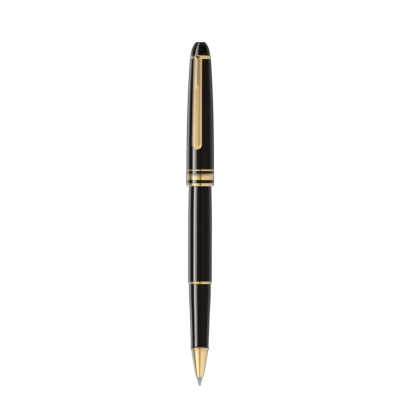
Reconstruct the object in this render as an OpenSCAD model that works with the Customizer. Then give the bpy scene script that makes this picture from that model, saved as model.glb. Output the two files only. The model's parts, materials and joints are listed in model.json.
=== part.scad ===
// Capped rollerball pen, posted: the cap sits on the tail of the barrel.
// The origin is the lowest point of the writing ball, +Z runs up the pen's axis
// to the crown of the cap, and the pocket clip is on the -Y side. Millimetres.

/* [Writing end] */
// Radius of the writing ball
ball_r = 0.35; // [0.3:0.05:0.4]
// Height of the open end of the nose cone
cone_z = 4; // [3.8:0.1:4.2]
// Radius of the nose cone just above its rounded end
cone_tip_r = 1.78; // [1.7:0.02:1.84]
// Radius of the nose cone at its base
cone_base_r = 3.76; // [3.6:0.02:3.84]
// Height of the underside of the front ring
front_ring_z = 15.9; // [15.7:0.1:16.1]
// Outer radius of the front ring
front_ring_r = 4.2; // [4.1:0.05:4.3]

/* [Grip section] */
// Height of the front face of the grip section
section_z = 17.5; // [17.3:0.1:17.7]
// Radius of the grip section at its front
section_front_r = 3.97; // [3.9:0.01:4.05]
// Radius of the grip section at its back
section_back_r = 4.88; // [4.85:0.01:4.95]

/* [Barrel] */
// Height of the underside of the barrel ring
barrel_ring_z = 45.5; // [45.3:0.1:45.6]
// Height of the front face of the barrel
barrel_z = 46.6; // [46.4:0.1:46.8]
// Radius of the straight stretch of the barrel
barrel_r = 5.31; // [5.28:0.01:5.34]
// Height where the straight stretch ends and the taper begins
barrel_taper_z = 72; // [70:1:74]
// Height of the gold ring in front of the tail cap
tail_ring_z = 112; // [111:0.5:113]
// Height of the end of the tail
tail_z = 122; // [121:0.5:124]

/* [Screw thread between section and barrel] */
// Advance in one turn
thread_lead = 1.2; // [1:0.1:1.4]
// Half the depth of the thread
thread_half_depth = 0.17; // [0.12:0.01:0.18]
// Mean radius of the male thread
thread_r = 4.02; // [3.98:0.01:4.04]
// Radial gap between the two threads
thread_gap = 0.1; // [0.08:0.01:0.12]

/* [Cap] */
// Height of the lip of the cap
lip_z = 89; // [88.8:0.1:89.1]
// Radius of the cap at its bands
cap_r = 6.17; // [6.15:0.01:6.25]
// Height of the underside of the clip ring
clip_ring_z = 145.65; // [145.55:0.05:145.75]
// Height of the underside of the crown
crown_z = 147.25; // [147.15:0.05:147.35]
// Radius of the crown at its base
crown_r = 4.38; // [4.3:0.02:4.5]
// Height of the top of the cap
top_z = 154.2; // [154:0.1:154.6]
// Radius of the plain white inlay in the crown
inlay_r = 2; // [1.8:0.02:2.3]

/* [Pocket clip] */
// Width of the clip at its root
clip_root_w = 3.72; // [3.6:0.02:3.9]
// Width of the clip where its rounded end begins
clip_end_w = 4.42; // [4.3:0.02:4.6]
// Height of the rounded end
clip_end_z = 105.3; // [104.8:0.1:106]
// Height where the ridge opens out into a flat
clip_flat_z = 134.3; // [132:0.1:136]

/* [Hidden] */
$fn = 72;

GOLD = "goldenrod";
BRASS = "darkkhaki";
RESIN = "dimgray";
STEEL = "silver";
PLASTIC = "whitesmoke";

slip = 0.02;         // radial gap between pieces pressed or glued together
refill_r = 3.0;      // outside of the refill tube
refill_bore_r = 2.6; // inside of the refill tube
shoulder_z = 25;     // the refill's shoulder sits on the back of the nose cone here
refill_end_z = 103;  // back of the refill
spigot_r = 2.95;     // threaded spigot behind the nose cone
point_r = 1.34;      // widest part of the metal point
thread_z = 47;       // the male thread's full form runs from here
thread_top_z = 53;   // to here
insert_top_z = 54.5; // back of the female thread insert
insert_r = 4.78;
ring_bore = 4.55;    // inside of the barrel ring, around the seal
thread_sides = 24;   // flats round the threaded pieces
thread_rings = 8;    // rings of points in one turn of thread
refill_bore = 3.4;   // bore of the barrel around the refill
spring_bore = 2.75;  // bore of the barrel around the tail cap's spigot
seat_z = 114.2;      // front face of the spring seat
spring_r = 1.95;     // mean radius of the refill spring
wire_r = 0.22;
spring_turns = 7;
band_core_r = 5.84;  // the cap's skirt under the bands
mouth_r = 5.45;      // inside of the cap's mouth
upper_band_z = 95.85;
bands_top_z = 96.55;
middle_band_z = 91.85;
middle_band_top_z = 94.62;
lip_band_top_z = 90.38;
skirt_z = 89.65;
retainer_r = 5.15;   // bore on both sides of the clutch ring's groove
groove_z = 96.8;
groove_top_z = 103.2;
groove_r = 5.45;
liner_z = 108.5;     // mouth of the inner cap
liner_r = 4.9;
liner_bore_r = 4.45;
liner_top_z = 141;
cap_floor_z = 142.2; // inside of the cap's closed end
screw_r = 2.1;
barrel_taper = 0.00092; // radius lost per squared millimetre above the straight stretch
cap_drop = 1.45;     // radius lost from the bands to the clip ring
cap_power = 2.4;     // 2 would spread that taper evenly; more keeps it near the clip ring
crown_power = 1.7;   // 2 would make the crown an ellipsoid; less makes it more pointed

// Outside radii of the curved bodies at height z
function barrel_r_at(z) = barrel_r - barrel_taper * pow(max(0, z - barrel_taper_z), 2);
function cap_r_at(z) =
    cap_r - cap_drop * pow(max(0, z - bands_top_z) / (clip_ring_z - bands_top_z), cap_power);
function crown_r_at(z) =
    crown_r * sqrt(max(0, 1 - pow(max(0, z - crown_z) / (top_z - crown_z), crown_power)));
function crown_z_at(r) = crown_z + (top_z - crown_z) * pow(1 - pow(r / crown_r, 2), 1 / crown_power);
function section_r_at(z) =
    section_front_r + (section_back_r - section_front_r) * pow((z - section_z) / (42.5 - section_z), 1.15);

// Points on an arc, and evenly spaced heights from a to b
function arc(centre, r, a0, a1, n = 6) =
    [for (i = [0:n]) centre + r * [cos(a0 + (a1 - a0) * i / n), sin(a0 + (a1 - a0) * i / n)]];
function steps(a, b, n) = [for (i = [0:n]) a + (b - a) * i / n];

// A turned piece from its [radius, height] outline
module turned(outline) rotate_extrude() polygon(outline);

module tube(r_in, r_out, z0, z1)
    turned([[r_in, z0], [r_out, z0], [r_out, z1], [r_in, z1]]);

// A flat ring with rounded outer edges
module round_ring(r_in, r_out, z0, z1, edge)
    turned(concat(
        [[r_in, z0]],
        arc([r_out - edge, z0 + edge], edge, -90, 0, 4),
        arc([r_out - edge, z1 - edge], edge, 0, 90, 4),
        [[r_in, z1]]
    ));

// A ring of points at height z. With depth d its radius follows a right-hand screw:
// it swells and shrinks by d once round, and that wave climbs one lead in one turn.
function screw_ring(z, r, d = 0) = [
    for (k = [0:thread_sides - 1])
        let (a = 360 * k / thread_sides, ra = r + d * cos(a - 360 * z / thread_lead))
            [ra * cos(a), ra * sin(a), z]
];
// The rings of one threaded wall, from height a to height b
function screw_wall(a, b, r) = [
    for (z = steps(a, b, ceil(thread_rings * abs(b - a) / thread_lead)))
        screw_ring(z, r, thread_half_depth)
];

// A closed tube from its rings: up the outer wall, then down the inner wall
module ring_tube(rings) {
    count = len(rings);
    n = thread_sides;
    faces = [
        for (i = [0:count - 1])
            for (k = [0:n - 1])
                let (m = (k + 1) % n, b = i * n, t = ((i + 1) % count) * n)
                    each [[b + k, t + k, t + m], [b + k, t + m, b + m]]
    ];
    polyhedron(points = [for (ring = rings) each ring], faces = faces);
}

// ---- Grip section ----

module grip_section() {
    tenon_z = 38;
    back_z = barrel_ring_z - slip;
    color(RESIN)
        turned(concat(
            [
                [spigot_r + slip, section_z],
                [section_front_r - 0.12, section_z]
            ],
            [for (z = steps(section_z + 0.12, 42.5, 8)) [section_r_at(z), z]],
            [
                [section_back_r, back_z - 0.08],
                [section_back_r - 0.08, back_z],
                [3.92, back_z],
                [3.92, tenon_z],
                [refill_r + 0.15, tenon_z],
                [refill_r + 0.15, shoulder_z],
                [spigot_r + slip, shoulder_z]
            ]
        ));
}

// Brass sleeve glued into the back of the section, with the male thread
module section_thread() {
    sleeve_z = 38.05;
    sleeve_r = 3.9;
    neck_r = 3.65;
    bore = 3.22;
    neck_z = barrel_ring_z - slip;
    color(BRASS)
        ring_tube(concat(
            [
                screw_ring(sleeve_z, sleeve_r),
                screw_ring(neck_z, sleeve_r),
                screw_ring(neck_z, neck_r),
                screw_ring(thread_z - 0.3, neck_r)
            ],
            screw_wall(thread_z, thread_top_z, thread_r),
            [
                screw_ring(thread_top_z + 0.4, neck_r),
                screw_ring(thread_top_z + 0.4, bore),
                screw_ring(sleeve_z, bore)
            ]
        ));
}

// Rubber ring at the root of the male thread
module section_seal() {
    wire = 0.36;
    color("black")
        rotate_extrude()
            translate([4.06, barrel_ring_z + wire])
                circle(r = wire);
}

module front_ring()
    color(GOLD)
        round_ring(spigot_r + slip, front_ring_r, front_ring_z, section_z - slip, 0.6);

module nose_cone() {
    mouth = point_r + 0.13;
    bore = 2.42;
    round_z = cone_z + 0.4;
    color(GOLD)
        turned([
            [mouth, cone_z],
            [cone_tip_r - 0.22, cone_z],
            [cone_tip_r - 0.06, cone_z + 0.12],
            [cone_tip_r, round_z],
            [cone_base_r, front_ring_z - slip],
            [spigot_r, front_ring_z - slip],
            [spigot_r, shoulder_z],
            [bore, shoulder_z],
            [bore, 11.2],
            [mouth, 5.2]
        ]);
}

// ---- Refill ----

module refill_point() {
    channel = 0.2;
    socket_r = ball_r + 0.03;
    rim_z = 0.15;
    color(STEEL)
        difference() {
            turned([
                [0, rim_z],
                [0.4, rim_z],
                [0.46, rim_z + 0.15],
                [point_r - 0.05, cone_z - 0.2],
                [point_r, cone_z + 0.2],
                [point_r, 5.6],
                [1, 5.6],
                [1, 12],
                [0, 12]
            ]);
            translate([0, 0, ball_r]) sphere(r = socket_r);
            cylinder(r = channel, h = 13);
        }
}

module refill_nose()
    color(PLASTIC)
        turned([
            [1 + slip, 5.7],
            [1.3, 5.7],
            [2.3, 11.6],
            [2.3, shoulder_z + slip],
            [refill_r, shoulder_z + slip],
            [refill_r, 26.4],
            [refill_bore_r - slip, 26.4],
            [refill_bore_r - slip, 33],
            [0.8, 33],
            [0.8, 12.1],
            [1 + slip, 12.1]
        ]);

module feed_rod()
    color("ivory") translate([0, 0, 12.15]) cylinder(r = 0.76, h = 27.85);

module refill_tube()
    color(STEEL) tube(refill_bore_r, refill_r, 26.45, 101);

module ink_fibre()
    color("midnightblue")
        difference() {
            translate([0, 0, 33.4]) cylinder(r = refill_bore_r - 0.05, h = 60);
            translate([0, 0, 33]) cylinder(r = 0.8, h = 7.2);
        }

module refill_plug() {
    vent = 0.4;
    color(PLASTIC)
        turned([
            [vent, 96],
            [refill_bore_r - slip, 96],
            [refill_bore_r - slip, 101.05],
            [refill_r, 101.05],
            [refill_r, refill_end_z - 0.3],
            [refill_r - 0.3, refill_end_z],
            [vent, refill_end_z]
        ]);
}

module writing_ball()
    color(STEEL) translate([0, 0, ball_r]) sphere(r = ball_r);

// ---- Spring behind the refill ----

// One ring of the wire's surface, square to the coil where the coil is at angle a
function wire_ring(a, z, sides) = [
    for (i = [0:sides - 1])
        let (b = 360 * i / sides, r = spring_r + wire_r * cos(b))
            [r * cos(a), r * sin(a), z + wire_r * sin(b)]
];

module refill_spring() {
    sides = 6;
    per_turn = 14;
    rings = spring_turns * per_turn;
    low = refill_end_z + wire_r + 0.03;
    high = seat_z - wire_r - 0.03;
    last = rings * sides;
    points = [
        for (i = [0:rings])
            each wire_ring(360 * i / per_turn, low + (high - low) * i / rings, sides)
    ];
    wall = [
        for (i = [0:rings - 1])
            for (k = [0:sides - 1])
                let (m = (k + 1) % sides, b = i * sides, t = b + sides)
                    each [[b + k, t + k, t + m], [b + k, t + m, b + m]]
    ];
    ends = [[for (k = [0:sides - 1]) k], [for (k = [0:sides - 1]) last + sides - 1 - k]];
    color(STEEL) polyhedron(points = points, faces = concat(wall, ends));
}

module spring_seat()
    color(STEEL) tube(0.8, 2.25, seat_z, seat_z + 0.4);

// ---- Barrel ----

module barrel_tube() {
    step_z = 105;
    color(RESIN)
        turned(concat(
            [
                [insert_r + slip, barrel_z],
                [barrel_r, barrel_z],
                [barrel_r, barrel_taper_z]
            ],
            [for (z = steps(barrel_taper_z + 4, tail_ring_z, 9)) [barrel_r_at(z), z]],
            [
                [spring_bore, tail_ring_z],
                [spring_bore, step_z],
                [refill_bore, step_z],
                [refill_bore, insert_top_z + 0.05],
                [insert_r + slip, insert_top_z + 0.05]
            ]
        ));
}

module barrel_ring() {
    edge = 0.35;
    color(GOLD)
        turned(concat(
            [[ring_bore, barrel_ring_z], [section_back_r + 0.05, barrel_ring_z]],
            arc([barrel_r - edge, barrel_ring_z + 0.1 + edge], edge, -60, 0, 4),
            [[barrel_r, barrel_z - slip], [ring_bore, barrel_z - slip]]
        ));
}

// Brass insert in the mouth of the barrel, with the female thread
module barrel_thread()
    color(BRASS)
        ring_tube(concat(
            [screw_ring(barrel_z, insert_r), screw_ring(insert_top_z, insert_r)],
            screw_wall(insert_top_z, barrel_z, thread_r + thread_gap)
        ));

module tail_ring()
    color(GOLD)
        round_ring(spring_bore - 0.2, barrel_r_at(tail_ring_z) + 0.04, tail_ring_z, tail_ring_z + 1, 0.2);

module tail_cap() {
    base_z = tail_ring_z + 1;
    base_r = barrel_r_at(base_z);
    bore = 2.4;
    color(RESIN)
        turned(concat(
            [
                [bore, 106.5],
                [spring_bore - 0.25, 106.5],
                [spring_bore - 0.22, base_z],
                [base_r, base_z]
            ],
            [for (a = steps(10, 80, 7)) [base_r * cos(a), base_z + (tail_z - base_z) * sin(a)]],
            [[0, tail_z], [0, seat_z + 0.42], [bore, seat_z + 0.42]]
        ));
}

// ---- Cap ----

// Split sleeve of spring brass that grips the barrel, loose in a groove of the cap
module cap_clutch_ring() {
    sheet = 0.2;
    rim_r = groove_r - 0.07;
    waist_z = (groove_z + groove_top_z) / 2;
    waist_r = barrel_r_at(waist_z) + 0.1;
    low = groove_z + 0.1;
    high = groove_top_z - 0.1;
    color(BRASS)
        difference() {
            turned([
                [rim_r - sheet, low], [rim_r, low], [rim_r, low + 0.6],
                [waist_r + sheet, waist_z - 0.4], [waist_r + sheet, waist_z + 0.4],
                [rim_r, high - 0.6], [rim_r, high], [rim_r - sheet, high],
                [rim_r - sheet, high - 0.6], [waist_r, waist_z + 0.4],
                [waist_r, waist_z - 0.4], [rim_r - sheet, low + 0.6]
            ]);
            for (a = [0:60:300])
                rotate([0, 0, a])
                    translate([0, -0.25, low + 0.8])
                        cube([groove_r + 1, 0.5, high - low - 1.6]);
            rotate([0, 0, 30])
                translate([0, -0.2, low - 1])
                    cube([groove_r + 1, 0.4, high - low + 2]);
        }
}

module cap_tube()
    color(RESIN)
        turned(concat(
            [
                [mouth_r, skirt_z],
                [band_core_r, skirt_z],
                [band_core_r, bands_top_z],
                [cap_r, bands_top_z]
            ],
            [for (z = steps(bands_top_z + 4, clip_ring_z, 11)) [cap_r_at(z), z]],
            [
                [screw_r + 0.05, clip_ring_z],
                [screw_r + 0.05, cap_floor_z],
                [4.1, cap_floor_z],
                [4.1, liner_top_z],
                [liner_r, 128],
                [liner_r, liner_z],
                [retainer_r, liner_z],
                [retainer_r, groove_top_z],
                [groove_r, groove_top_z],
                [groove_r, groove_z],
                [retainer_r, groove_z],
                [retainer_r, 94.4],
                [mouth_r, 94]
            ]
        ));

module cap_upper_band()
    color(GOLD)
        round_ring(band_core_r + slip, cap_r + 0.04, upper_band_z, bands_top_z - 0.02, 0.1);

module cap_upper_spacer()
    color(RESIN) tube(band_core_r + slip, cap_r, middle_band_top_z, upper_band_z);

// The wide band bulges a little
module cap_middle_band() {
    bulge = 0.14;
    color(GOLD)
        turned(concat(
            [[band_core_r + slip, middle_band_z]],
            [for (t = steps(0, 1, 8))
                [cap_r + 0.02 + bulge * sin(180 * t), middle_band_z + t * (middle_band_top_z - middle_band_z)]],
            [[band_core_r + slip, middle_band_top_z]]
        ));
}

module cap_lower_spacer()
    color(RESIN) tube(band_core_r + slip, cap_r, lip_band_top_z, middle_band_z);

// The lip band turns in under the end of the skirt
module cap_lip_band() {
    edge = 0.62;
    color(GOLD)
        turned(concat(
            [[mouth_r, lip_z + 0.1], [mouth_r + 0.1, lip_z]],
            arc([cap_r + 0.03 - edge, lip_z + edge], edge, -90, 0, 6),
            [
                [cap_r + 0.03, lip_band_top_z],
                [band_core_r + slip, lip_band_top_z],
                [band_core_r + slip, skirt_z - slip],
                [mouth_r, skirt_z - slip]
            ]
        ));
}

// Liner that closes round the writing end when the cap is on the front
module inner_cap()
    color(PLASTIC)
        turned([
            [liner_bore_r, liner_z + 0.05],
            [liner_r - slip, liner_z + 0.05],
            [liner_r - slip, 128 - slip],
            [4.1 - slip, liner_top_z - 0.05],
            [0, liner_top_z - 0.05],
            [0, 139],
            [1.9, 138],
            [4.3, 123],
            [4.36, liner_z + 1.5]
        ]);

module clip_ring() {
    slot_w = 3.4;
    color(GOLD)
        difference() {
            round_ring(screw_r + 0.05, cap_r_at(clip_ring_z) - 0.03, clip_ring_z, crown_z, 0.25);
            translate([-slot_w / 2, -6, clip_ring_z + 0.2])
                cube([slot_w, 2.9, crown_z - clip_ring_z]);
        }
}

// Brass screw that clamps the crown and the clip ring to the cap
module crown_screw() {
    slot = 0.8;
    color(BRASS)
        difference() {
            union() {
                translate([0, 0, liner_top_z]) cylinder(r = 3.6, h = 0.75);
                translate([0, 0, liner_top_z]) cylinder(r = screw_r, h = 9.4);
            }
            translate([-4, -slot / 2, liner_top_z - 0.1]) cube([8, slot, 0.5]);
        }
}

module crown_washer()
    color(STEEL) tube(screw_r + 0.05, 3.8, liner_top_z + 0.78, cap_floor_z - 0.02);

module cap_crown() {
    recess_z = 152.2;
    rim_z = crown_z_at(inlay_r + slip);
    color(RESIN)
        turned(concat(
            [[screw_r + slip, crown_z + slip], [crown_r - 0.1, crown_z + slip]],
            [for (z = steps(crown_z + 0.12, rim_z, 9)) [crown_r_at(z), z]],
            [
                [inlay_r + slip, recess_z],
                [0, recess_z],
                [0, 150.6],
                [screw_r + slip, 150.6]
            ]
        ));
}

module crown_inlay() {
    recess_z = 152.22;
    color("white")
        turned(concat(
            [[0, recess_z], [inlay_r, recess_z]],
            [for (r = steps(inlay_r, inlay_r / 8, 7)) [r, crown_z_at(r)]],
            [[0, top_z]]
        ));
}

// ---- Pocket clip ----

clip_side = 0.25;      // height of the clip's plain side wall
clip_bevel = 0.66;     // width of the bevel along both edges
clip_bevel_h = 0.5;    // rise of the bevel
clip_roof = tan(17);   // slope of the two roof facets
clip_flat_w = 0.8;     // half width of the flat
clip_ridge_z = 145.5;  // top of the ridge, where a small hip begins
clip_hip_z = 146.85;   // foot of the hip
clip_root_z = 147.15;  // top edge of the clip
clip_pivot_z = 146.45; // the clip flexes about its root
clip_end_r = clip_end_w / 2;
clip_centre_z = clip_end_z + clip_end_r; // centre of the round end

// Distance from the axis to the clip's inner face: the gap to the cap widens to the end
function clip_inner(z) =
    cap_r_at(min(z, clip_ring_z)) + 0.35 + 0.18 * pow((clip_root_z - z) / (clip_root_z - clip_end_z), 2);
// Half width at height z of the clip's outline set in by d
function clip_half(z, d = 0) =
    let (t = (clip_root_z - z) / (clip_root_z - clip_centre_z))
        z >= clip_centre_z
            ? (clip_root_w + (clip_end_w - clip_root_w) * t) / 2 - d
            : sqrt(max(0.0004, pow(clip_end_r - d, 2) - pow(clip_centre_z - z, 2)));
// How far the roof has risen at height z: 0 at the foot of the hip, 1 on the ridge
function clip_rise(z) = max(0, min(1, (clip_hip_z - z) / (clip_hip_z - clip_ridge_z)));
// Half width at height z of the level stretch between the roof facets: the flat low down, next to
// nothing along the ridge, and the hip's own width above it
function clip_flat(z) =
    let (brow = clip_half(z, clip_bevel))
        max(
            min(clip_flat_w, max(0.02, (clip_flat_z - z) / 2), 0.6 * brow + 0.005),
            0.97 * brow * (1 - clip_rise(z))
        );
// Height of the bevel's upper edge above the inner face
function clip_shoulder(z) =
    clip_side + clip_bevel_h * min(1, (z - clip_end_z) / clip_bevel) - max(0, z - clip_hip_z);
// Height of the crest above the inner face
function clip_crest(z) =
    clip_shoulder(z) + clip_roof * (clip_half(z, clip_bevel) - clip_flat(z));
// The eight corners of the clip's cross-section at height z
function clip_section(z) =
    let (
        y = -clip_inner(z),
        w = clip_half(z),
        b = clip_half(z, clip_bevel),
        f = clip_flat(z),
        side = 0.9 * clip_side,
        shoulder = clip_shoulder(z),
        crest = clip_crest(z)
    )
        [
            [w, y, z], [w, y - side, z], [b, y - shoulder, z], [f, y - crest, z],
            [-f, y - crest, z], [-b, y - shoulder, z], [-w, y - side, z], [-w, y, z]
        ];

module clip_blade() {
    heights = concat(
        [for (a = [10, 25, 40, 55, 72]) clip_centre_z - clip_end_r * cos(a)],
        steps(clip_centre_z, clip_flat_z - 1.6, 10),
        [clip_flat_z],
        steps(clip_flat_z + 2, clip_ridge_z, 4),
        [clip_hip_z, clip_root_z]
    );
    last = 8 * (len(heights) - 1);
    wall = [
        for (i = [0:len(heights) - 2])
            for (k = [0:7])
                let (m = (k + 1) % 8, b = i * 8, t = b + 8)
                    each [[b + k, b + m, t + m], [b + k, t + m, t + k]]
    ];
    ends = [[for (k = [7:-1:0]) k], [for (k = [0:7]) last + k]];
    polyhedron(points = [for (z = heights) each clip_section(z)], faces = concat(wall, ends));
}

// Tongue at the root, held in the clip ring's slot
module clip_tongue() {
    tongue_w = 3.2;
    tongue_h = 0.8;
    inner_y = 3.6;
    outer_y = clip_inner(clip_pivot_z) + 0.3;
    translate([-tongue_w / 2, -outer_y, clip_pivot_z - tongue_h / 2])
        cube([tongue_w, outer_y - inner_y, tongue_h]);
}

// Rounded pad at the free end, which presses on the cap through the cloth
module clip_pad() {
    pad_r = 1.3;
    pad_z = clip_centre_z + 0.6;
    face_y = cap_r_at(pad_z) + 0.1;
    intersection() {
        translate([0, -face_y - pad_r, pad_z]) sphere(r = pad_r);
        translate([-2, -face_y - 0.7, pad_z - 2]) cube([4, 1, 4]);
    }
}

module pocket_clip()
    color(GOLD)
        union() {
            clip_blade();
            clip_tongue();
            clip_pad();
        }

grip_section();
section_thread();
section_seal();
front_ring();
nose_cone();
refill_tube();
refill_nose();
refill_point();
feed_rod();
ink_fibre();
refill_plug();
writing_ball();
refill_spring();
spring_seat();
barrel_tube();
barrel_ring();
barrel_thread();
tail_ring();
tail_cap();
cap_clutch_ring();
cap_tube();
cap_upper_band();
cap_upper_spacer();
cap_middle_band();
cap_lower_spacer();
cap_lip_band();
inner_cap();
clip_ring();
crown_screw();
crown_washer();
cap_crown();
crown_inlay();
pocket_clip();
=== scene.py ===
"""The looks of the rollerball pen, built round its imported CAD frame.

Every plain turned piece is lathed again, finely and with eased edges, from the outline of its CAD
node. The others are built from the boxes of theirs: the ball and the refill's point, the pieces
with slots, the threads, the spring and the clip. Metres throughout, +Z up the pen's axis, the
writing point at the origin and the pocket clip on the -Y side.
"""

import json
import math

import bmesh
import bpy
from mathutils import Matrix, Vector


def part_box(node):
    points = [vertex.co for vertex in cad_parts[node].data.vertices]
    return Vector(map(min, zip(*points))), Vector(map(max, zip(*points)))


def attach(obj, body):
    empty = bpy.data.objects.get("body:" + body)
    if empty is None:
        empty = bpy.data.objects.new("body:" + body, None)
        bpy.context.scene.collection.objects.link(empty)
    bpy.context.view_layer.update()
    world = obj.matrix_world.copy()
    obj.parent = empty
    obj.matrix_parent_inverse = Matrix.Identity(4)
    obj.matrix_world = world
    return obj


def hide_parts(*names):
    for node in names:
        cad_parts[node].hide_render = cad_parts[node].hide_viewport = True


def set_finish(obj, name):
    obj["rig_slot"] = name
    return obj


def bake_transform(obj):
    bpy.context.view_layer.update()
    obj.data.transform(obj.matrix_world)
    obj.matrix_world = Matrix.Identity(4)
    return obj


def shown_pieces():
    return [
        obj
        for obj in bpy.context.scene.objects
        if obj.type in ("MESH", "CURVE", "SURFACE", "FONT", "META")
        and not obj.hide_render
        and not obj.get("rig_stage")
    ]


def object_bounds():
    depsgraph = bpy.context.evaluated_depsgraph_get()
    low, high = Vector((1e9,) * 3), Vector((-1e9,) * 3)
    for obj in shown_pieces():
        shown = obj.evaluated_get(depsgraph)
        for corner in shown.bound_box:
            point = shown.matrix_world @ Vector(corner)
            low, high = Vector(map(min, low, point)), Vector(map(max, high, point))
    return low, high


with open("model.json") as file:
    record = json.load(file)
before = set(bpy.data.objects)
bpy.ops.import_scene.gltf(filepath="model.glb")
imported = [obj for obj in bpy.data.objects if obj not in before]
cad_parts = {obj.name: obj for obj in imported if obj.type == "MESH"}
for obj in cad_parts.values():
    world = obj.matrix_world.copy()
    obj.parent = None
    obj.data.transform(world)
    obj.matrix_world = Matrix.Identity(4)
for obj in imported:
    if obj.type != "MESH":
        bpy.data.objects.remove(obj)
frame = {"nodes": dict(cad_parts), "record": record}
CAD_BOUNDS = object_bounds()

MM = 0.001
RECORD = frame["record"]
BODY_OF = {node: body for body, nodes in RECORD["behaviour"]["bodies"].items() for node in nodes}
SLOT_OF = {row["node"]: row["material_slot"] for row in RECORD["subparts"]}

# ---- Camera ----

CAMERA_AZIMUTH = math.radians(12.6)  # from straight in front of the clip, towards +X
CAMERA_DISTANCE = 2.0
CAMERA_HEIGHT = 0.0829
CAMERA_SIDE = -0.00006  # off the pen's axis, towards the right of the picture
CAMERA_ROLL = math.radians(-0.13)
LENS_MM = 403.9
SENSOR_MM = 36


def make_camera():
    data = bpy.data.cameras.new("camera")
    data.lens = LENS_MM
    data.sensor_width = SENSOR_MM
    data.clip_start = 0.1
    camera = bpy.data.objects.new("camera", data)
    bpy.context.scene.collection.objects.link(camera)
    turn = Matrix.Rotation(CAMERA_AZIMUTH, 3, "Z")
    camera.location = turn @ Vector((CAMERA_SIDE, -CAMERA_DISTANCE, CAMERA_HEIGHT))
    camera.rotation_euler = (math.radians(90), CAMERA_ROLL, CAMERA_AZIMUTH)
    bpy.context.scene.camera = camera


# ---- Shader helpers ----


class Nodes:
    """Short calls for building one node tree."""

    def __init__(self, tree):
        self.tree = tree
        self.tree.nodes.clear()

    def add(self, kind, inputs=(), **settings):
        node = self.tree.nodes.new("ShaderNode" + kind)
        for name, value in settings.items():
            setattr(node, name, value)
        for name, value in dict(inputs).items():
            if isinstance(value, bpy.types.NodeSocket):
                self.tree.links.new(value, node.inputs[name])
            else:
                node.inputs[name].default_value = value
        return node

    def math(self, operation, a, b=0.0):
        return self.add("Math", {0: a, 1: b}, operation=operation).outputs[0]

    def ramp(self, value, stops):
        node = self.add("ValToRGB", {"Fac": value})
        elements = node.color_ramp.elements
        while len(elements) > 1:
            elements.remove(elements[-1])
        elements[0].position = stops[0][0]
        elements[0].color = (*stops[0][1], 1)
        for position, colour in stops[1:]:
            elements.new(position).color = (*colour, 1)
        return node.outputs["Color"]

    def remap(self, value, low, high):
        """A 0 to 1 value stretched to run from low to high."""
        inputs = {"Value": value, "To Min": low, "To Max": high}
        return self.add("MapRange", inputs).outputs["Result"]

    def step(self, value, start, end):
        """0 where the value is at start, rising to 1 where it is at end."""
        inputs = {"Value": value, "From Min": start, "From Max": end}
        return self.add("MapRange", inputs).outputs["Result"]

    def noise(self, vector, scale, detail=3.0, roughness=0.5):
        inputs = {"Vector": vector, "Scale": scale, "Detail": detail, "Roughness": roughness}
        return self.add("TexNoise", inputs).outputs["Fac"]

    def stretched(self, scale):
        """The object's coordinates, scaled differently along each axis."""
        coords = self.add("TexCoord").outputs["Object"]
        return self.add("Mapping", {"Vector": coords, "Scale": scale}).outputs["Vector"]

    def mix(self, factor, a, b):
        node = self.add("Mix", data_type="RGBA")
        sockets = {"Factor": 0, "A": 6, "B": 7}
        for name, value in (("Factor", factor), ("A", a), ("B", b)):
            socket = node.inputs[sockets[name]]
            if isinstance(value, bpy.types.NodeSocket):
                self.tree.links.new(value, socket)
            else:
                socket.default_value = value if name == "Factor" else (*value, 1)
        return node.outputs[2]

    def bump(self, height, strength, distance):
        inputs = {"Height": height, "Strength": strength, "Distance": distance}
        return self.add("Bump", inputs).outputs["Normal"]

    def wear(self):
        """1 on the eased edges of the pieces, 0 elsewhere."""
        return self.add("Attribute", attribute_name="wear").outputs["Fac"]


def new_material(name):
    material = bpy.data.materials.new(name)
    material.use_nodes = True
    return material, Nodes(material.node_tree)


def principled(nodes, **inputs):
    spelled = {name.replace("_", " "): value for name, value in inputs.items()}
    shader = nodes.add("BsdfPrincipled", spelled)
    output = nodes.add("OutputMaterial")
    nodes.tree.links.new(shader.outputs["BSDF"], output.inputs["Surface"])
    return shader


# ---- Materials, one function per finish ----


def resin_material():
    """Polished black resin: faint clouding, hairline scratches from the pocket, softer edges."""
    material, n = new_material("black_resin")
    cloud = n.noise(n.stretched((1, 1, 0.4)), 180, 4)
    hairlines = n.noise(n.stretched((1, 1, 0.06)), 5200, 2, 0.7)
    colour = n.mix(cloud, (0.0009, 0.0004, 0.0002), (0.0016, 0.0009, 0.0006))
    polish = n.remap(cloud, 0.035, 0.065)
    roughness = n.math("MULTIPLY_ADD", n.wear(), 0.05)
    n.tree.links.new(polish, roughness.node.inputs[2])
    principled(
        n,
        Base_Color=colour,
        Roughness=roughness,
        IOR=1.23,
        Normal=n.bump(hairlines, 0.05, 0.00001),
    )
    return material


def gold_material():
    """Polished gold plate: slow colour drift, fine wiping marks, paler where the edges are rubbed."""
    material, n = new_material("gold_plate")
    drift = n.noise(n.stretched((1, 1, 1)), 260, 3)
    wiping = n.noise(n.stretched((1, 1, 0.05)), 3800, 3, 0.6)
    plate = n.mix(drift, (0.89, 0.66, 0.34), (0.94, 0.71, 0.39))
    colour = n.mix(n.math("MULTIPLY", n.wear(), 0.35), plate, (0.97, 0.8, 0.52))
    principled(
        n,
        Base_Color=colour,
        Metallic=1.0,
        Roughness=n.remap(wiping, 0.07, 0.14),
        Normal=n.bump(wiping, 0.06, 0.00001),
    )
    return material


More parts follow.
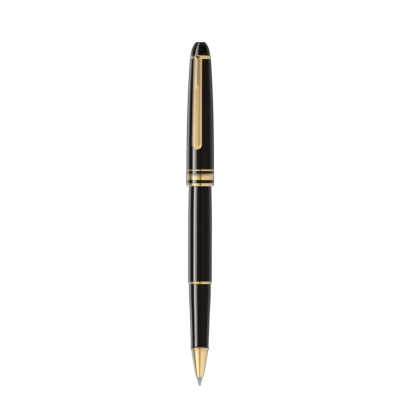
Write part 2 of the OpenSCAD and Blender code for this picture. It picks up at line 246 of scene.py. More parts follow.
def turned_metal(name, dark, light, roughness, pitch):
    """Bare metal off the lathe: rings at the tool's pitch, with tarnish between them."""
    material, n = new_material(name)
    coords = n.add("TexCoord").outputs["Object"]
    rings = n.add(
        "TexWave",
        {"Vector": coords, "Scale": 1 / pitch, "Distortion": 0.6, "Detail": 2.0, "Detail Scale": 3.0},
        bands_direction="Z",
    ).outputs["Fac"]
    tarnish = n.noise(n.stretched((1, 1, 0.5)), 700, 4)
    principled(
        n,
        Base_Color=n.mix(tarnish, dark, light),
        Metallic=1.0,
        Roughness=n.remap(tarnish, roughness, roughness + 0.14),
        Normal=n.bump(rings, 0.12, 0.00001),
    )
    return material


def moulded_plastic(name, dark, light, roughness, gloss):
    """Injection moulded plastic: soft sink marks and a fine spark-eroded grain."""
    material, n = new_material(name)
    flow = n.noise(n.stretched((1, 1, 0.3)), 300, 3)
    grain = n.noise(n.stretched((1, 1, 1)), 9000, 2)
    principled(
        n,
        Base_Color=n.mix(flow, dark, light),
        Roughness=n.remap(flow, roughness, roughness + 0.1),
        Coat_Weight=gloss,
        Coat_Roughness=0.08,
        Normal=n.bump(grain, 0.15, 0.00001),
    )
    return material


def fibre_material(name, dark, light, roughness):
    """A bonded bundle of fibres that runs along the pen, unevenly soaked."""
    material, n = new_material(name)
    fibres = n.noise(n.stretched((1, 1, 0.03)), 12000, 3, 0.7)
    soaking = n.noise(n.stretched((1, 1, 0.4)), 400, 4)
    blend = n.math("MULTIPLY", fibres, soaking)
    principled(
        n,
        Base_Color=n.mix(n.remap(blend, 0.0, 2.4), dark, light),
        Roughness=roughness,
        Sheen_Weight=0.3,
        Normal=n.bump(fibres, 0.6, 0.00003),
    )
    return material


def rubber_material():
    """Moulded rubber with a dusty bloom."""
    material, n = new_material("rubber")
    bloom = n.noise(n.stretched((1, 1, 1)), 900, 4)
    grain = n.noise(n.stretched((1, 1, 1)), 8000, 2)
    principled(
        n,
        Base_Color=n.mix(bloom, (0.012, 0.012, 0.012), (0.035, 0.034, 0.033)),
        Roughness=n.remap(bloom, 0.55, 0.8),
        Normal=n.bump(grain, 0.3, 0.00001),
    )
    return material


def make_materials():
    return {
        "black_resin": resin_material(),
        "gold_plate": gold_material(),
        "plain_brass": turned_metal(
            "plain_brass", (0.56, 0.4, 0.17), (0.76, 0.58, 0.29), 0.22, 0.0009
        ),
        "steel": turned_metal("steel", (0.37, 0.37, 0.385), (0.5, 0.5, 0.52), 0.24, 0.0007),
        "white_plastic": moulded_plastic(
            "white_plastic", (0.7, 0.7, 0.68), (0.82, 0.82, 0.8), 0.4, 0.0
        ),
        "white_inlay": moulded_plastic(
            "white_inlay", (0.84, 0.84, 0.82), (0.92, 0.92, 0.91), 0.12, 0.6
        ),
        "feed_fibre": fibre_material("feed_fibre", (0.1, 0.1, 0.3), (0.62, 0.61, 0.68), 0.7),
        "ink_reservoir": fibre_material("ink_reservoir", (0.01, 0.015, 0.11), (0.06, 0.09, 0.36), 0.45),
        "rubber": rubber_material(),
    }


# ---- Lathe ----

SAME_POINT = 6e-6  # CAD vertices closer than this in radius and height are one corner
ON_AXIS = 1e-6
NO_TURN = 0.001  # radians: a point that turns less than this lies on a straight line
STRAIGHT = math.radians(1.15)  # a corner that turns less than this is left as it is
SOFT_TURN = math.radians(24)  # one that turns less than this is part of a curve, not an edge
CURVE_STEPS = 6  # lengths into which a curve is cut between two corners
EASE_LIMIT = 0.24  # the most of a side that the easing of one of its ends takes up
RUN_IN = 1.9  # the extra ring beside an eased edge lies this many easings from the corner


def walk(links, start):
    """The indices met when going along the chain of links from start."""
    path = [start]
    while True:
        onward = [i for i in sorted(links[path[-1]]) if i not in path]
        if not onward:
            return path
        path.append(onward[0])


def outline_of(node):
    """The corners (radius, height) of a turned CAD node in order, and whether they close a loop."""
    mesh = frame["nodes"][node].data
    corners = []
    corner_of = []
    for vertex in mesh.vertices:
        point = Vector((math.hypot(vertex.co.x, vertex.co.y), vertex.co.z))
        near = next((i for i, c in enumerate(corners) if (c - point).length < SAME_POINT), None)
        if near is None:
            near = len(corners)
            corners.append(point)
        corner_of.append(near)
    links = {i: set() for i in range(len(corners))}
    for edge in mesh.edges:
        a, b = (corner_of[v] for v in edge.vertices)
        if a != b:
            links[a].add(b)
            links[b].add(a)
    ends = [i for i in links if len(links[i]) == 1]
    order = walk(links, ends[0] if ends else 0)
    outline = [corners[i].copy() for i in order]
    if ends:
        # a flat end face has no vertex at its centre
        if outline[0].x > ON_AXIS:
            outline.insert(0, Vector((0, outline[0].y)))
        if outline[-1].x > ON_AXIS:
            outline.append(Vector((0, outline[-1].y)))
    return true_corners(outline, not ends), not ends


def turn_at(points, i, closed):
    """How sharply the outline turns at point i. The ends of an open outline count as soft."""
    if not closed and i in (0, len(points) - 1):
        return 0.0
    before = points[i] - points[i - 1]
    after = points[(i + 1) % len(points)] - points[i]
    return before.angle(after, 0.0)


def true_corners(points, closed):
    """The points where the outline turns, and its ends, without those partway along a straight."""
    last = len(points) - 1
    return [
        point
        for i, point in enumerate(points)
        if turn_at(points, i, closed) > NO_TURN or (not closed and i in (0, last))
    ]


def tangent_at(points, i):
    """The direction of a smooth curve through point i. The nearer of its neighbours counts for more."""
    before = points[i] - points[i - 1]
    after = points[(i + 1) % len(points)] - points[i]
    ratio = after.length / before.length
    return (before * ratio + after / ratio) / (before.length + after.length)


def between(start, start_slope, end, end_slope, t):
    """The point a share t of the way along the cubic curve from start to end."""
    rest = 1 - t
    return (
        start * (1 + 2 * t) * rest**2
        + start_slope * t * rest**2
        + end * (3 - 2 * t) * t**2
        - end_slope * rest * t**2
    )


def curved(points, closed):
    """The outline with its soft runs rounded into smooth curves through their corners."""
    count = len(points)
    soft = [STRAIGHT < turn_at(points, i, closed) < SOFT_TURN for i in range(count)]
    result = []
    for i, point in enumerate(points):
        result.append(point)
        j = (i + 1) % count
        if j == 0 and not closed:
            break
        if not (soft[i] or soft[j]):
            continue
        chord = points[j] - point
        start = chord.length * tangent_at(points, i) if soft[i] else None
        end = chord.length * tangent_at(points, j) if soft[j] else 2 * chord - start
        if start is None:
            start = 2 * chord - end
        result += [between(point, start, points[j], end, k / CURVE_STEPS) for k in range(1, CURVE_STEPS)]
    return result


def eased(points, closed, radius, steps=4):
    """The outline with its sharp corners eased, as (point, wear) pairs."""
    count = len(points)
    result = []
    for i, corner in enumerate(points):
        turn = turn_at(points, i, closed)
        if turn < SOFT_TURN:
            result.append((corner, 0.0))
            continue
        back = points[i - 1] - corner
        onward = points[(i + 1) % count] - corner
        reach = radius * math.tan(turn / 2)
        near = min(reach, EASE_LIMIT * back.length)
        far = min(reach, EASE_LIMIT * onward.length)
        start = corner + back.normalized() * near
        end = corner + onward.normalized() * far
        result.append((corner + back.normalized() * RUN_IN * near, 0.0))
        for k in range(steps + 1):
            t = k / steps
            point = start * (1 - t) ** 2 + 2 * corner * t * (1 - t) + end * t**2
            result.append((point, 1.0 - abs(2 * t - 1)))
        result.append((corner + onward.normalized() * RUN_IN * far, 0.0))
    return result


def finish_mesh(name, verts, faces, wear=None, sharp=None):
    """A mesh object with outward faces and smooth shading. sharp is the angle of hard edges."""
    mesh = bpy.data.meshes.new(name)
    mesh.from_pydata(verts, [], faces)
    if wear is not None:
        mesh.attributes.new("wear", "FLOAT", "POINT").data.foreach_set("value", wear)
    work = bmesh.new()
    work.from_mesh(mesh)
    bmesh.ops.recalc_face_normals(work, faces=work.faces)
    work.to_mesh(mesh)
    work.free()
    mesh.polygons.foreach_set("use_smooth", [True] * len(mesh.polygons))
    if sharp is not None:
        mesh.set_sharp_from_angle(angle=sharp)
    piece = bpy.data.objects.new(name, mesh)
    bpy.context.scene.collection.objects.link(piece)
    return piece


def lathed(name, outline, closed, segments, swell=None):
    """A body of revolution about Z from (point, wear) pairs. swell(point, angle) adds to the radius."""
    verts, faces, wear, rings = [], [], [], []
    for point, worn in outline:
        if point.x < ON_AXIS:
            rings.append([len(verts)] * segments)
            verts.append((0, 0, point.y))
            wear.append(worn)
            continue
        rings.append(list(range(len(verts), len(verts) + segments)))
        for k in range(segments):
            a = math.tau * k / segments
            radius = point.x + (swell(point, a) if swell else 0)
            verts.append((radius * math.cos(a), radius * math.sin(a), point.y))
            wear.append(worn)
    pairs = zip(rings, rings[1:] + rings[:1]) if closed else zip(rings, rings[1:])
    for low, high in pairs:
        for k in range(segments):
            m = (k + 1) % segments
            face = [low[k], low[m], high[m], high[k]]
            faces.append(list(dict.fromkeys(face)))
    return finish_mesh(name, verts, faces, wear)


def place(piece, node, materials, stands_for=True):
    """The piece rides with the node's body, wears its finish and, as a rule, stands for it."""
    piece.data.materials.append(materials[SLOT_OF[node]])
    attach(piece, BODY_OF[node])
    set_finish(piece, SLOT_OF[node])
    if stands_for:
        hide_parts(node)
    return piece


# How far each turned piece's edges are eased, in millimetres, and the segments round it
TURNED = {
    "grip_section": (0.12, 160),
    "section_seal": (0.02, 96),
    "front_ring": (0.08, 160),
    "nose_cone": (0.06, 160),
    "refill_tube": (0.05, 96),
    "refill_nose": (0.08, 96),
    "feed_rod": (0.05, 48),
    "ink_fibre": (0.1, 64),
    "refill_plug": (0.1, 96),
    "spring_seat": (0.05, 64),
    "barrel_tube": (0.08, 160),
    "barrel_ring": (0.06, 160),
    "tail_ring": (0.08, 160),
    "tail_cap": (0.1, 160),
    "cap_tube": (0.08, 160),
    "cap_upper_band": (0.06, 160),
    "cap_upper_spacer": (0.06, 160),
    "cap_middle_band": (0.1, 160),
    "cap_lower_spacer": (0.06, 160),
    "cap_lip_band": (0.06, 160),
    "inner_cap": (0.1, 96),
    "crown_washer": (0.05, 64),
    "cap_crown": (0.06, 160),
    "crown_inlay": (0.06, 128),
}


def turned_piece(node, radius_mm, segments, materials):
    outline, closed = outline_of(node)
    shape = eased(curved(outline, closed), closed, radius_mm * MM)
    return place(lathed(node + "_fine", shape, closed, segments), node, materials)


# ---- Pieces with slots or a round socket, and the ball ----

TONGUE_WIDTH = 3.2 * MM
SHEET = 0.2 * MM  # thickness of the clutch ring


def corners_of(*pairs):
    """Outline corners from (radius, height) pairs."""
    return [Vector(pair) for pair in pairs]


def arc(centre, radius, start, end, count):
    """Outline points on an arc. Its two angles are in degrees, with 0 straight out from the axis."""
    angles = [math.radians(start + (end - start) * k / count) for k in range(count + 1)]
    return [Vector(centre) + radius * Vector((math.cos(a), math.sin(a))) for a in angles]


def writing_ball(materials):
    low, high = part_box("writing_ball")
    radius = (high.z - low.z) / 2
    outline = [(point, 0.0) for point in arc((0, low.z + radius), radius, -90, 90, 48)]
    place(lathed("writing_ball_fine", outline, False, 64), "writing_ball", materials)


def refill_point(materials):
    """The metal point: a cone up to a collar and a stem, with the ball's socket and the ink channel."""
    low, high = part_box("refill_point")
    ball_low, ball_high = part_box("writing_ball")
    mouth_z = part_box("nose_cone")[0].z
    ball = (ball_high.z - ball_low.z) / 2
    socket, channel, stem = ball + 0.03 * MM, 0.2 * MM, 1 * MM
    shoulder = mouth_z + 1.6 * MM
    rim = -math.degrees(math.asin((ball_low.z + ball - low.z) / socket))
    roof = math.degrees(math.acos(channel / socket))
    outline = corners_of(
        (0.4 * MM, low.z),
        (0.46 * MM, low.z + 0.15 * MM),
        (high.x - 0.05 * MM, mouth_z - 0.2 * MM),
        (high.x, mouth_z + 0.2 * MM),
        (high.x, shoulder),
        (stem, shoulder),
        (stem, high.z),
        (channel, high.z),
    )
    outline += arc((0, ball_low.z + ball), socket, roof, rim, 20)
    shape = eased(outline, True, 0.02 * MM)
    place(lathed("refill_point_fine", shape, True, 96), "refill_point", materials)


def inner_radius(node):
    """The smallest radius of any corner of the CAD node."""
    return min(math.hypot(v.co.x, v.co.y) for v in frame["nodes"][node].data.vertices)


def half_width(node):
    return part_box(node)[1].x


def cut_piece(node, outline, ease_mm, segments, slots, materials):
    """A turned piece with slots, each slot a (size, centre, turn) box cut out of it."""
    closed = outline[0].x > ON_AXIS
    shape = eased(outline, closed, ease_mm * MM)
    piece = lathed(node + "_fine", shape, closed, segments)
    for size, centre, turn in slots:
        bpy.ops.mesh.primitive_cube_add(size=1, location=centre, rotation=(0, 0, turn))
        tool = bpy.context.active_object
        tool.scale = size
        cut = piece.modifiers.new("slot", "BOOLEAN")
        cut.operation = "DIFFERENCE"
        cut.solver = "EXACT"
        cut.object = tool
        bpy.context.view_layer.objects.active = piece
        bpy.ops.object.modifier_apply(modifier=cut.name)
        bpy.data.objects.remove(tool)
    piece.data.set_sharp_from_angle(angle=math.radians(35))
    return place(piece, node, materials)


def clip_ring(materials):
    """The flat ring under the crown, with the slot for the clip's tongue."""
    low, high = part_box("clip_ring")
    bore = inner_radius("clip_ring")
    edge = 0.25 * MM
    outline = [
        Vector((bore, low.z)),
        *arc((high.x - edge, low.z + edge), edge, -90, 0, 6),
        *arc((high.x - edge, high.z - edge), edge, 0, 90, 6),
        Vector((bore, high.z)),
    ]
    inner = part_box("pocket_clip")[1].y + 0.5 * MM
    floor = low.z + 0.2 * MM
    size = (TONGUE_WIDTH + 0.2 * MM, 4 * MM, 2 * MM)
    centre = (0, inner - size[1] / 2, floor + size[2] / 2)
    return cut_piece("clip_ring", outline, 0.04, 160, [(size, centre, 0)], materials)


def crown_screw(materials):
    """The screw that holds the crown, with a slot across its head."""
    low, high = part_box("crown_screw")
    shaft = inner_radius("crown_washer") - 0.05 * MM
    head = low.z + 0.75 * MM
    outline = corners_of(
        (0, low.z), (high.x, low.z), (high.x, head), (shaft, head), (shaft, high.z), (0, high.z)
    )
    slot = ((10 * MM, 0.8 * MM, 0.8 * MM), (0, 0, low.z), 0)
    return cut_piece("crown_screw", outline, 0.08, 96, [slot], materials)


def clutch_ring(materials):
    """The sprung sleeve in the cap: two rims, a waist, slots between its leaves and a split."""
    low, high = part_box("cap_clutch_ring")
    rim, waist = max(high.x, -low.x), inner_radius("cap_clutch_ring")
    middle = (low.z + high.z) / 2
    fold, flat = 0.6 * MM, 0.4 * MM
    outline = corners_of(
        (rim - SHEET, low.z),
        (rim, low.z),
        (rim, low.z + fold),
        (waist + SHEET, middle - flat),
        (waist + SHEET, middle + flat),
        (rim, high.z - fold),
        (rim, high.z),
        (rim - SHEET, high.z),
        (rim - SHEET, high.z - fold),
        (waist, middle + flat),
        (waist, middle - flat),
        (rim - SHEET, low.z + fold),
    )
    height = high.z - low.z
    reach = 4 * MM
    slots = []
    for k in range(6):
        a = math.tau * k / 6
        centre = (rim * math.cos(a), rim * math.sin(a), middle)
        slots.append(((reach, 0.5 * MM, height - 1.6 * MM), centre, a))
    a = math.radians(30)
    centre = (rim * math.cos(a), rim * math.sin(a), middle)
    slots.append(((reach, 0.4 * MM, 2 * height), centre, a))
    return cut_piece("cap_clutch_ring", outline, 0.05, 144, slots, materials)


# ---- Threads ----

TURN_RATIO = RECORD["behaviour"]["couplings"][0]["ratio"]
LEAD = math.tau / TURN_RATIO
THREAD_DEPTH = 0.17 * MM


def threaded(node, before, run, after, materials):
    """A sleeve whose wall carries the thread between run's two heights, at run's mean radius."""
    start, end, mean = run
    count = math.ceil(24 * abs(end - start) / LEAD)
    wall = [Vector((mean, start + (end - start) * k / count)) for k in range(count + 1)]
    outline = [(point, 0.0) for point in corners_of(*before) + wall + corners_of(*after)]
    low, high = sorted((start, end))

    def swell(point, angle):
        on_thread = point.x == wall[0].x and low <= point.y <= high
        return THREAD_DEPTH * math.cos(angle - math.tau * point.y / LEAD) if on_thread else 0

    piece = lathed(node + "_fine", outline, True, 96, swell)
    piece.data.set_sharp_from_angle(angle=math.radians(50))
    return place(piece, node, materials)


def thread_sleeves(materials):
    """The male thread behind the section, and the insert in the mouth of the barrel."""
    low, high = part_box("section_thread")
    neck_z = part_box("grip_section")[1].z
    sleeve, neck, bore = 3.9 * MM, 3.65 * MM, 3.22 * MM
    mean = 4.02 * MM
    start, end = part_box("barrel_thread")[0].z + 0.4 * MM, high.z - 0.4 * MM
    before = [(bore, low.z), (sleeve, low.z), (sleeve, neck_z), (neck, neck_z), (neck, start - 0.3 * MM)]
    after = [(neck, high.z), (bore, high.z)]
    threaded("section_thread", before, (start, end, mean), after, materials)
    low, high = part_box("barrel_thread")
    before = [(high.x, low.z), (high.x, high.z)]
    threaded("barrel_thread", before, (high.z, low.z, mean + 0.1 * MM), [], materials)


# ---- Refill spring ----

WIRE = 0.22 * MM
COILS = 7
TIP_RINGS = 3  # the wire rounds off over its last rings


def refill_spring(materials):
    """The coil behind the refill, built as one fixed coil. The real one stretches as the section is
    unscrewed and the refill follows.
    """
    low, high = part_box("refill_spring")
    mean = max(high.x, -low.x, high.y, -low.y) - WIRE
    start, end = low.z + WIRE, high.z - WIRE
    sides, per_coil = 14, 56
    count = COILS * per_coil
    verts, faces = [], []
    for i in range(count + 1):
        a = math.tau * i / per_coil
        z = start + (end - start) * i / count
        from_end = min(i, count - i) / TIP_RINGS
        wire = WIRE * math.sqrt(max(0.1, 1 - max(0.0, 1 - from_end) ** 2))
        for k in range(sides):
            b = math.tau * k / sides
            radius = mean + wire * math.cos(b)
            verts.append((radius * math.cos(a), radius * math.sin(a), z + wire * math.sin(b)))
    for i in range(count):
        for k in range(sides):
            m = (k + 1) % sides
            faces.append((i * sides + k, i * sides + m, (i + 1) * sides + m, (i + 1) * sides + k))
    faces.append(tuple(range(sides)))
    faces.append(tuple(count * sides + k for k in range(sides)))
    piece = finish_mesh("refill_spring_fine", verts, faces)
    piece.data.materials.append(materials["steel"])
    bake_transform(piece)
    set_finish(piece, "steel")
    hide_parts("refill_spring")


# ---- Pocket clip ----


class Clip:
    """The clip's cross-section at any height, inside the box of its CAD node.

    It has a low side wall, a bevel along each edge, and two roof facets that meet in a ridge. The
    ridge opens into a flat lower down and ends in a small hip at the root.
    """

    SIDE = 0.225 * MM
    BEVEL = 0.66 * MM
    BEVEL_FOOT = 0.25 * MM
    BEVEL_RISE = 0.5 * MM
    ROOF = math.tan(math.radians(17))
    RIDGE = 0.02 * MM  # half width of the ridge where it is sharp
    FLAT = 0.8 * MM  # half width of the flat
    FLAT_SHARE = 0.6  # the most of the roof's width that the flat takes near the rounded end
    HIP_SHARE = 0.97  # and at the root
    ROOT_WIDTH = 3.72 * MM
    GAP = 0.35 * MM
    GAP_GROWTH = 0.18 * MM
    CAP_POWER = 2.4  # 2 would taper the cap evenly; more keeps its taper near the clip ring
    EDGE = 0.045 * MM

    def __init__(self):
        low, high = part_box("pocket_clip")
        self.end, self.root, self.inner_end, self.front = low.z, high.z, high.y, low.y
        self.end_radius = high.x
        self.centre = self.end + self.end_radius
        self.hip = self.root - 0.3 * MM
        self.ridge = self.root - 1.65 * MM
        self.pivot = self.root - 0.7 * MM
        self.flat_top = self.root - 12.85 * MM
        self.cap_radius = half_width("cap_tube")
        self.cap_drop = self.cap_radius - half_width("clip_ring") - 0.03 * MM
        self.cap_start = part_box("cap_upper_band")[1].z + 0.02 * MM
        self.cap_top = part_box("cap_tube")[1].z

    def cap_at(self, z):
        share = (min(z, self.cap_top) - self.cap_start) / (self.cap_top - self.cap_start)
        return self.cap_radius - self.cap_drop * share**self.CAP_POWER

    def inner(self, z):
        share = (self.root - z) / (self.root - self.end)
        return self.cap_at(z) + self.GAP + self.GAP_GROWTH * share**2

    def half(self, z, inset=0.0):
        if z < self.centre:
            reach = self.end_radius - inset
            return math.sqrt(max(self.RIDGE**2, reach**2 - (self.centre - z) ** 2))
        share = (self.root - z) / (self.root - self.centre)
        return (self.ROOT_WIDTH + (2 * self.end_radius - self.ROOT_WIDTH) * share) / 2 - inset

    def flat(self, z):
        brow = self.half(z, self.BEVEL)
        opening = max(self.RIDGE, (self.flat_top - z) / 2)
        top = min(self.FLAT, opening, self.FLAT_SHARE * brow + self.RIDGE / 4)
        hip = max(0, min(1, (z - self.ridge) / (self.hip - self.ridge)))
        return max(top, self.HIP_SHARE * brow * hip)

    def corners(self, z):
        rise = self.BEVEL_RISE * min(1, (z - self.end) / self.BEVEL)
        shoulder = self.BEVEL_FOOT + rise - max(0, z - self.hip)
        brow, flat = self.half(z, self.BEVEL), self.flat(z)
        crest = shoulder + self.ROOF * (brow - flat)
        half, y = self.half(z), -self.inner(z)
        right = [(half, y), (half, y - self.SIDE), (brow, y - shoulder), (flat, y - crest)]
        return [Vector(p) for p in right] + [Vector((-x, y)) for x, y in reversed(right)]

    def heights(self):
        """Where the cross-sections lie: closer together where the shape changes faster."""
        turns = [math.radians(a) for a in (2, 5, 9, *range(14, 90, 4))]
        crease, fold = 0.04 * MM, 0.03 * MM
        opened = self.flat_top - 2 * self.FLAT - 0.1 * MM
        stretches = (
            (self.centre, opened, 40),
            (opened, self.flat_top, 8),
            (self.flat_top, self.ridge - crease, 16),
            (self.ridge - crease, self.ridge + crease, 2),
            (self.ridge + crease, self.hip - fold, 8),
            (self.hip - fold, self.hip + fold, 2),
            (self.hip + fold, self.root, 3),
        )
        result = [self.centre - self.end_radius * math.cos(a) for a in turns]
        for start, stop, count in stretches:
            result += [start + (stop - start) * k / count for k in range(count)]
        return result + [self.root]


SECTION_EASE_LIMIT = 0.22  # the most of a side that the easing of one of its corners takes up
SHORTEST = 1e-9  # stands for the length of a side that has none


def softened(corners, ease):
    """A section's corners, each eased by the same number of points, as (point, wear) pairs."""
    result = []
    for i, corner in enumerate(corners):
        back = corners[i - 1] - corner
        onward = corners[(i + 1) % len(corners)] - corner
        near = back * min(SECTION_EASE_LIMIT, ease / max(back.length, SHORTEST))
        far = onward * min(SECTION_EASE_LIMIT, ease / max(onward.length, SHORTEST))
        result.append((corner + RUN_IN * near, 0.0))
        for t in (0, 0.25, 0.5, 0.75, 1):
            point = corner + near * (1 - t) ** 2 + far * t**2
            result.append((point, 1.0 - abs(2 * t - 1)))
        result.append((corner + RUN_IN * far, 0.0))
    return result


def clip_blade(clip):
    """The blade, lofted through its eased cross-sections."""
    verts, wear, faces = [], [], []
    heights = clip.heights()
    for z in heights:
        for point, worn in softened(clip.corners(z), clip.EDGE):
            verts.append((point.x, max(point.y, clip.front), z))
            wear.append(worn)
    around = len(verts) // len(heights)
    for i in range(len(heights) - 1):
        for k in range(around):
            m = (k + 1) % around
            low, high = i * around, (i + 1) * around
            faces.append((low + k, low + m, high + m, high + k))
    faces.append(tuple(range(around)))
    faces.append(tuple(len(verts) - around + k for k in range(around)))
    return finish_mesh("clip_blade", verts, faces, wear, math.radians(40))


def clip_tongue(clip):
    """The tongue that the clip ring holds."""
    width, height = TONGUE_WIDTH, 0.8 * MM
    outer = clip.inner(clip.pivot) + 0.3 * MM
    inner = -clip.inner_end
    mesh = bpy.data.meshes.new("clip_tongue")
    work = bmesh.new()
    bmesh.ops.create_cube(work, size=1)
    bmesh.ops.scale(work, vec=(width, outer - inner, height), verts=work.verts)
    bmesh.ops.translate(work, vec=(0, -(outer + inner) / 2, clip.pivot), verts=work.verts)
    bmesh.ops.bevel(work, geom=work.edges[:], offset=0.06 * MM, segments=3, affect="EDGES")
    work.to_mesh(mesh)
    work.free()
    piece = bpy.data.objects.new("clip_tongue", mesh)
    bpy.context.scene.collection.objects.link(piece)
    return piece


def clip_pad(clip):
    """The rounded pad at the free end, which faces the cap."""
    radius, depth = 1.3 * MM, 0.7 * MM
    z = clip.centre + 0.6 * MM
    face = -clip.cap_at(z) - 0.1 * MM
    widest = math.acos((radius - depth) / radius)
    dome = [(Vector((0, radius - depth)), 0.0)]
    for k in range(17):
        a = widest * (1 - k / 16)
        dome.append((Vector((radius * math.sin(a), radius * math.cos(a))), 0.0))
    piece = lathed("clip_pad", dome, False, 64)
    turn = Matrix.Rotation(math.radians(-90), 4, "X")
    piece.data.transform(Matrix.Translation((0, face - radius, z)) @ turn)
    return piece


def pocket_clip(materials):
    clip = Clip()
    place(clip_blade(clip), "pocket_clip", materials)
    for piece in (clip_tongue(clip), clip_pad(clip)):
        place(piece, "pocket_clip", materials, stands_for=False)


# ---- Stage, world and lights ----

FLOOR_Z = -2.2  # low enough to see the pen from below


def make_stage():
    """A pale round floor that curves up into the wall, all as bright as the background."""
    floor, bend, wall = 2.6, 0.8, 4.0
    outline = [Vector((0, FLOOR_Z)), Vector((floor, FLOOR_Z))]
    for k in range(1, 13):
        a = math.radians(90 * k / 12)
        outline.append(Vector((floor + bend * math.sin(a), FLOOR_Z + bend * (1 - math.cos(a)))))
    outline.append(Vector((floor + bend, wall)))
    stage = lathed("studio", [(point, 0.0) for point in outline], False, 96)
    material, n = new_material("studio")
    patches = n.noise(n.stretched((1, 1, 1)), 3, 2)
    principled(
        n,
        Base_Color=n.mix(patches, (0.02, 0.02, 0.02), (0.03, 0.03, 0.03)),
        Roughness=0.9,
        Emission_Color=(1, 1, 1, 1),
        Emission_Strength=1.0,
    )
    stage.data.materials.append(material)
    stage.visible_glossy = False
    stage.visible_shadow = False
    stage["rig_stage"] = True


# What the polished pieces mirror: brightness of the studio at each bearing from the camera, in
# degrees towards the right of the picture
STUDIO_RING = (
    (-180, (0.12, 0.12, 0.12)),
    (-150, (0.3, 0.3, 0.32)),
    (-131, (0.68, 0.76, 0.95)),
    (-114, (0.58, 0.64, 0.8)),
    (-99, (0.36, 0.38, 0.42)),
    (-86, (0.05, 0.04, 0.03)),
    (-76, (0.3, 0.31, 0.33)),
    (-66, (0.84, 0.91, 1.1)),
    (-57, (0.98, 1.08, 1.33)),
    (-48, (1.1, 1.2, 1.45)),
    (-40, (1.02, 1.09, 1.22)),
    (-31, (0.88, 0.87, 0.8)),
    (-22, (0.73, 0.66, 0.47)),
    (-14, (0.68, 0.62, 0.46)),
    (-5, (0.45, 0.39, 0.28)),
    (3, (0.15, 0.1, 0.06)),
    (9.5, (0.54, 0.475, 0.37)),
    (18, (0.8, 0.74, 0.66)),
    (30, (0.79, 0.75, 0.7)),
    (54, (0.76, 0.73, 0.7)),
    (73, (0.74, 0.73, 0.72)),
    (95, (0.66, 0.68, 0.72)),
    (124, (0.6, 0.64, 0.72)),
    (150, (0.28, 0.28, 0.3)),
    (180, (0.12, 0.12, 0.12)),
)
CAMERA_BEARING = CAMERA_AZIMUTH - math.pi / 2  # mathematical angle of the camera seen from the pen
RING_STRENGTH = 2.0  # a ramp's colours stop at 1, so it holds the ring's divided by this
UNDERFOOT = 1.35  # how much brighter the studio is far below


def make_world():
    """A ring of soft grey and bright panels, brighter underfoot, with a dark band above it."""
    world = bpy.data.worlds.new("studio")
    world.use_nodes = True
    n = Nodes(world.node_tree)
    direction = n.add("TexCoord").outputs["Generated"]
    turned = n.add(
        "VectorRotate", {"Vector": direction, "Angle": -CAMERA_BEARING}, rotation_type="Z_AXIS"
    )
    parts = n.add("SeparateXYZ", {"Vector": turned.outputs["Vector"]}).outputs
    bearing = n.math("ARCTAN2", parts["Y"], parts["X"])
    stops = [
        ((angle + 180) / 360, tuple(part / RING_STRENGTH for part in colour))
        for angle, colour in STUDIO_RING
    ]
    ring = n.ramp(n.step(bearing, -math.pi, math.pi), stops)
    # Z is the sine of the elevation
    dark_band = n.step(parts["Z"], 0.06, 0.42)
    overhead = n.step(parts["Z"], 0.7, 0.95)
    below = n.step(parts["Z"], -0.12, -0.4)
    colour = n.mix(dark_band, ring, (0.02, 0.02, 0.02))
    colour = n.mix(overhead, colour, (0.35, 0.35, 0.35))
    strength = n.remap(below, RING_STRENGTH, RING_STRENGTH * UNDERFOOT)
    background = n.add("Background", {"Color": colour, "Strength": strength})
    output = n.add("OutputWorld")
    n.tree.links.new(background.outputs["Background"], output.inputs["Surface"])
    bpy.context.scene.world = world


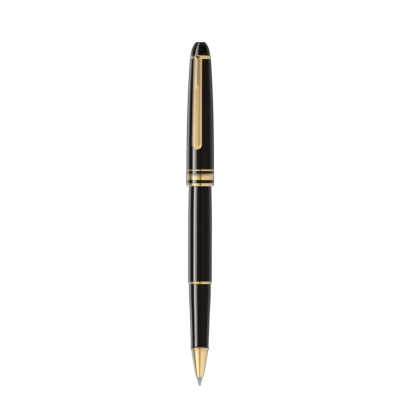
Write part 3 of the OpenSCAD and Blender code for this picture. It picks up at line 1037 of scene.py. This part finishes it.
# The panels mirrored by the black resin: name, bearing and width in degrees, brightness, and the
# heights of its lower and upper edge
PANELS = (
    ("key_panel", -54.5, 19, 45.0, -0.3, 0.25),
    ("key_panel_middle", -54.5, 19, 24.0, 0.25, 1.0),
    ("key_panel_top", -54.5, 19, 42.0, 1.0, 2.0),
    ("key_feather", -38, 14, 16.5, -0.3, 0.8),
    ("left_panel", -121.5, 29, 5.4, -0.3, 0.21),
    ("left_panel_top", -121.5, 29, 2.2, 0.21, 1.0),
    ("right_panel", 112, 34, 1.2, -0.3, 1.0),
)
PANEL_DISTANCE = 0.6
INLAY_LIGHT_SIZE = 0.3
INLAY_LIGHT_HEIGHT = 0.5
INLAY_LIGHT_BRIGHTNESS = 4.0


def pieces_with(slot):
    """A collection of every piece with this finish, for a light that falls on nothing else."""
    group = bpy.data.collections.new(slot + "_pieces")
    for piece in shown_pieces():
        if piece.get("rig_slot") == slot:
            group.objects.link(piece)
    return group


def soft_panel(name, width, height, brightness, location, facing, receivers):
    data = bpy.data.lights.new(name, "AREA")
    data.shape = "RECTANGLE"
    data.size = width
    data.size_y = height
    data.energy = brightness * math.pi * width * height
    light = bpy.data.objects.new(name, data)
    bpy.context.scene.collection.objects.link(light)
    light.location = location
    light.rotation_euler = facing.to_track_quat("-Z", "Y").to_euler()
    light.visible_camera = False
    light.light_linking.receiver_collection = receivers


def make_panels():
    """Tall soft panels round the black resin, and a soft light over the white inlay."""
    resin = pieces_with("black_resin")
    for name, bearing, degrees, brightness, lower, upper in PANELS:
        width = 2 * PANEL_DISTANCE * math.tan(math.radians(degrees / 2))
        angle = CAMERA_BEARING + math.radians(bearing)
        outward = Vector((math.cos(angle), math.sin(angle), 0))
        location = outward * PANEL_DISTANCE + Vector((0, 0, (lower + upper) / 2))
        soft_panel(name, width, upper - lower, brightness, location, -outward, resin)
    crown = Vector((0, 0, CAD_BOUNDS[1][2]))
    location = Vector((0, -INLAY_LIGHT_HEIGHT / 2, INLAY_LIGHT_HEIGHT))
    facing = crown - location
    inlay = pieces_with("white_inlay")
    size = INLAY_LIGHT_SIZE
    soft_panel("inlay_light", size, size, INLAY_LIGHT_BRIGHTNESS, location, facing, inlay)


# ---- The whole scene ----


def main():
    bpy.context.scene.view_settings.view_transform = "Standard"
    make_camera()
    materials = make_materials()
    for node, (ease, segments) in TURNED.items():
        turned_piece(node, ease, segments, materials)
    writing_ball(materials)
    refill_point(materials)
    clip_ring(materials)
    crown_screw(materials)
    clutch_ring(materials)
    thread_sleeves(materials)
    refill_spring(materials)
    pocket_clip(materials)
    make_stage()
    make_world()
    make_panels()


main()
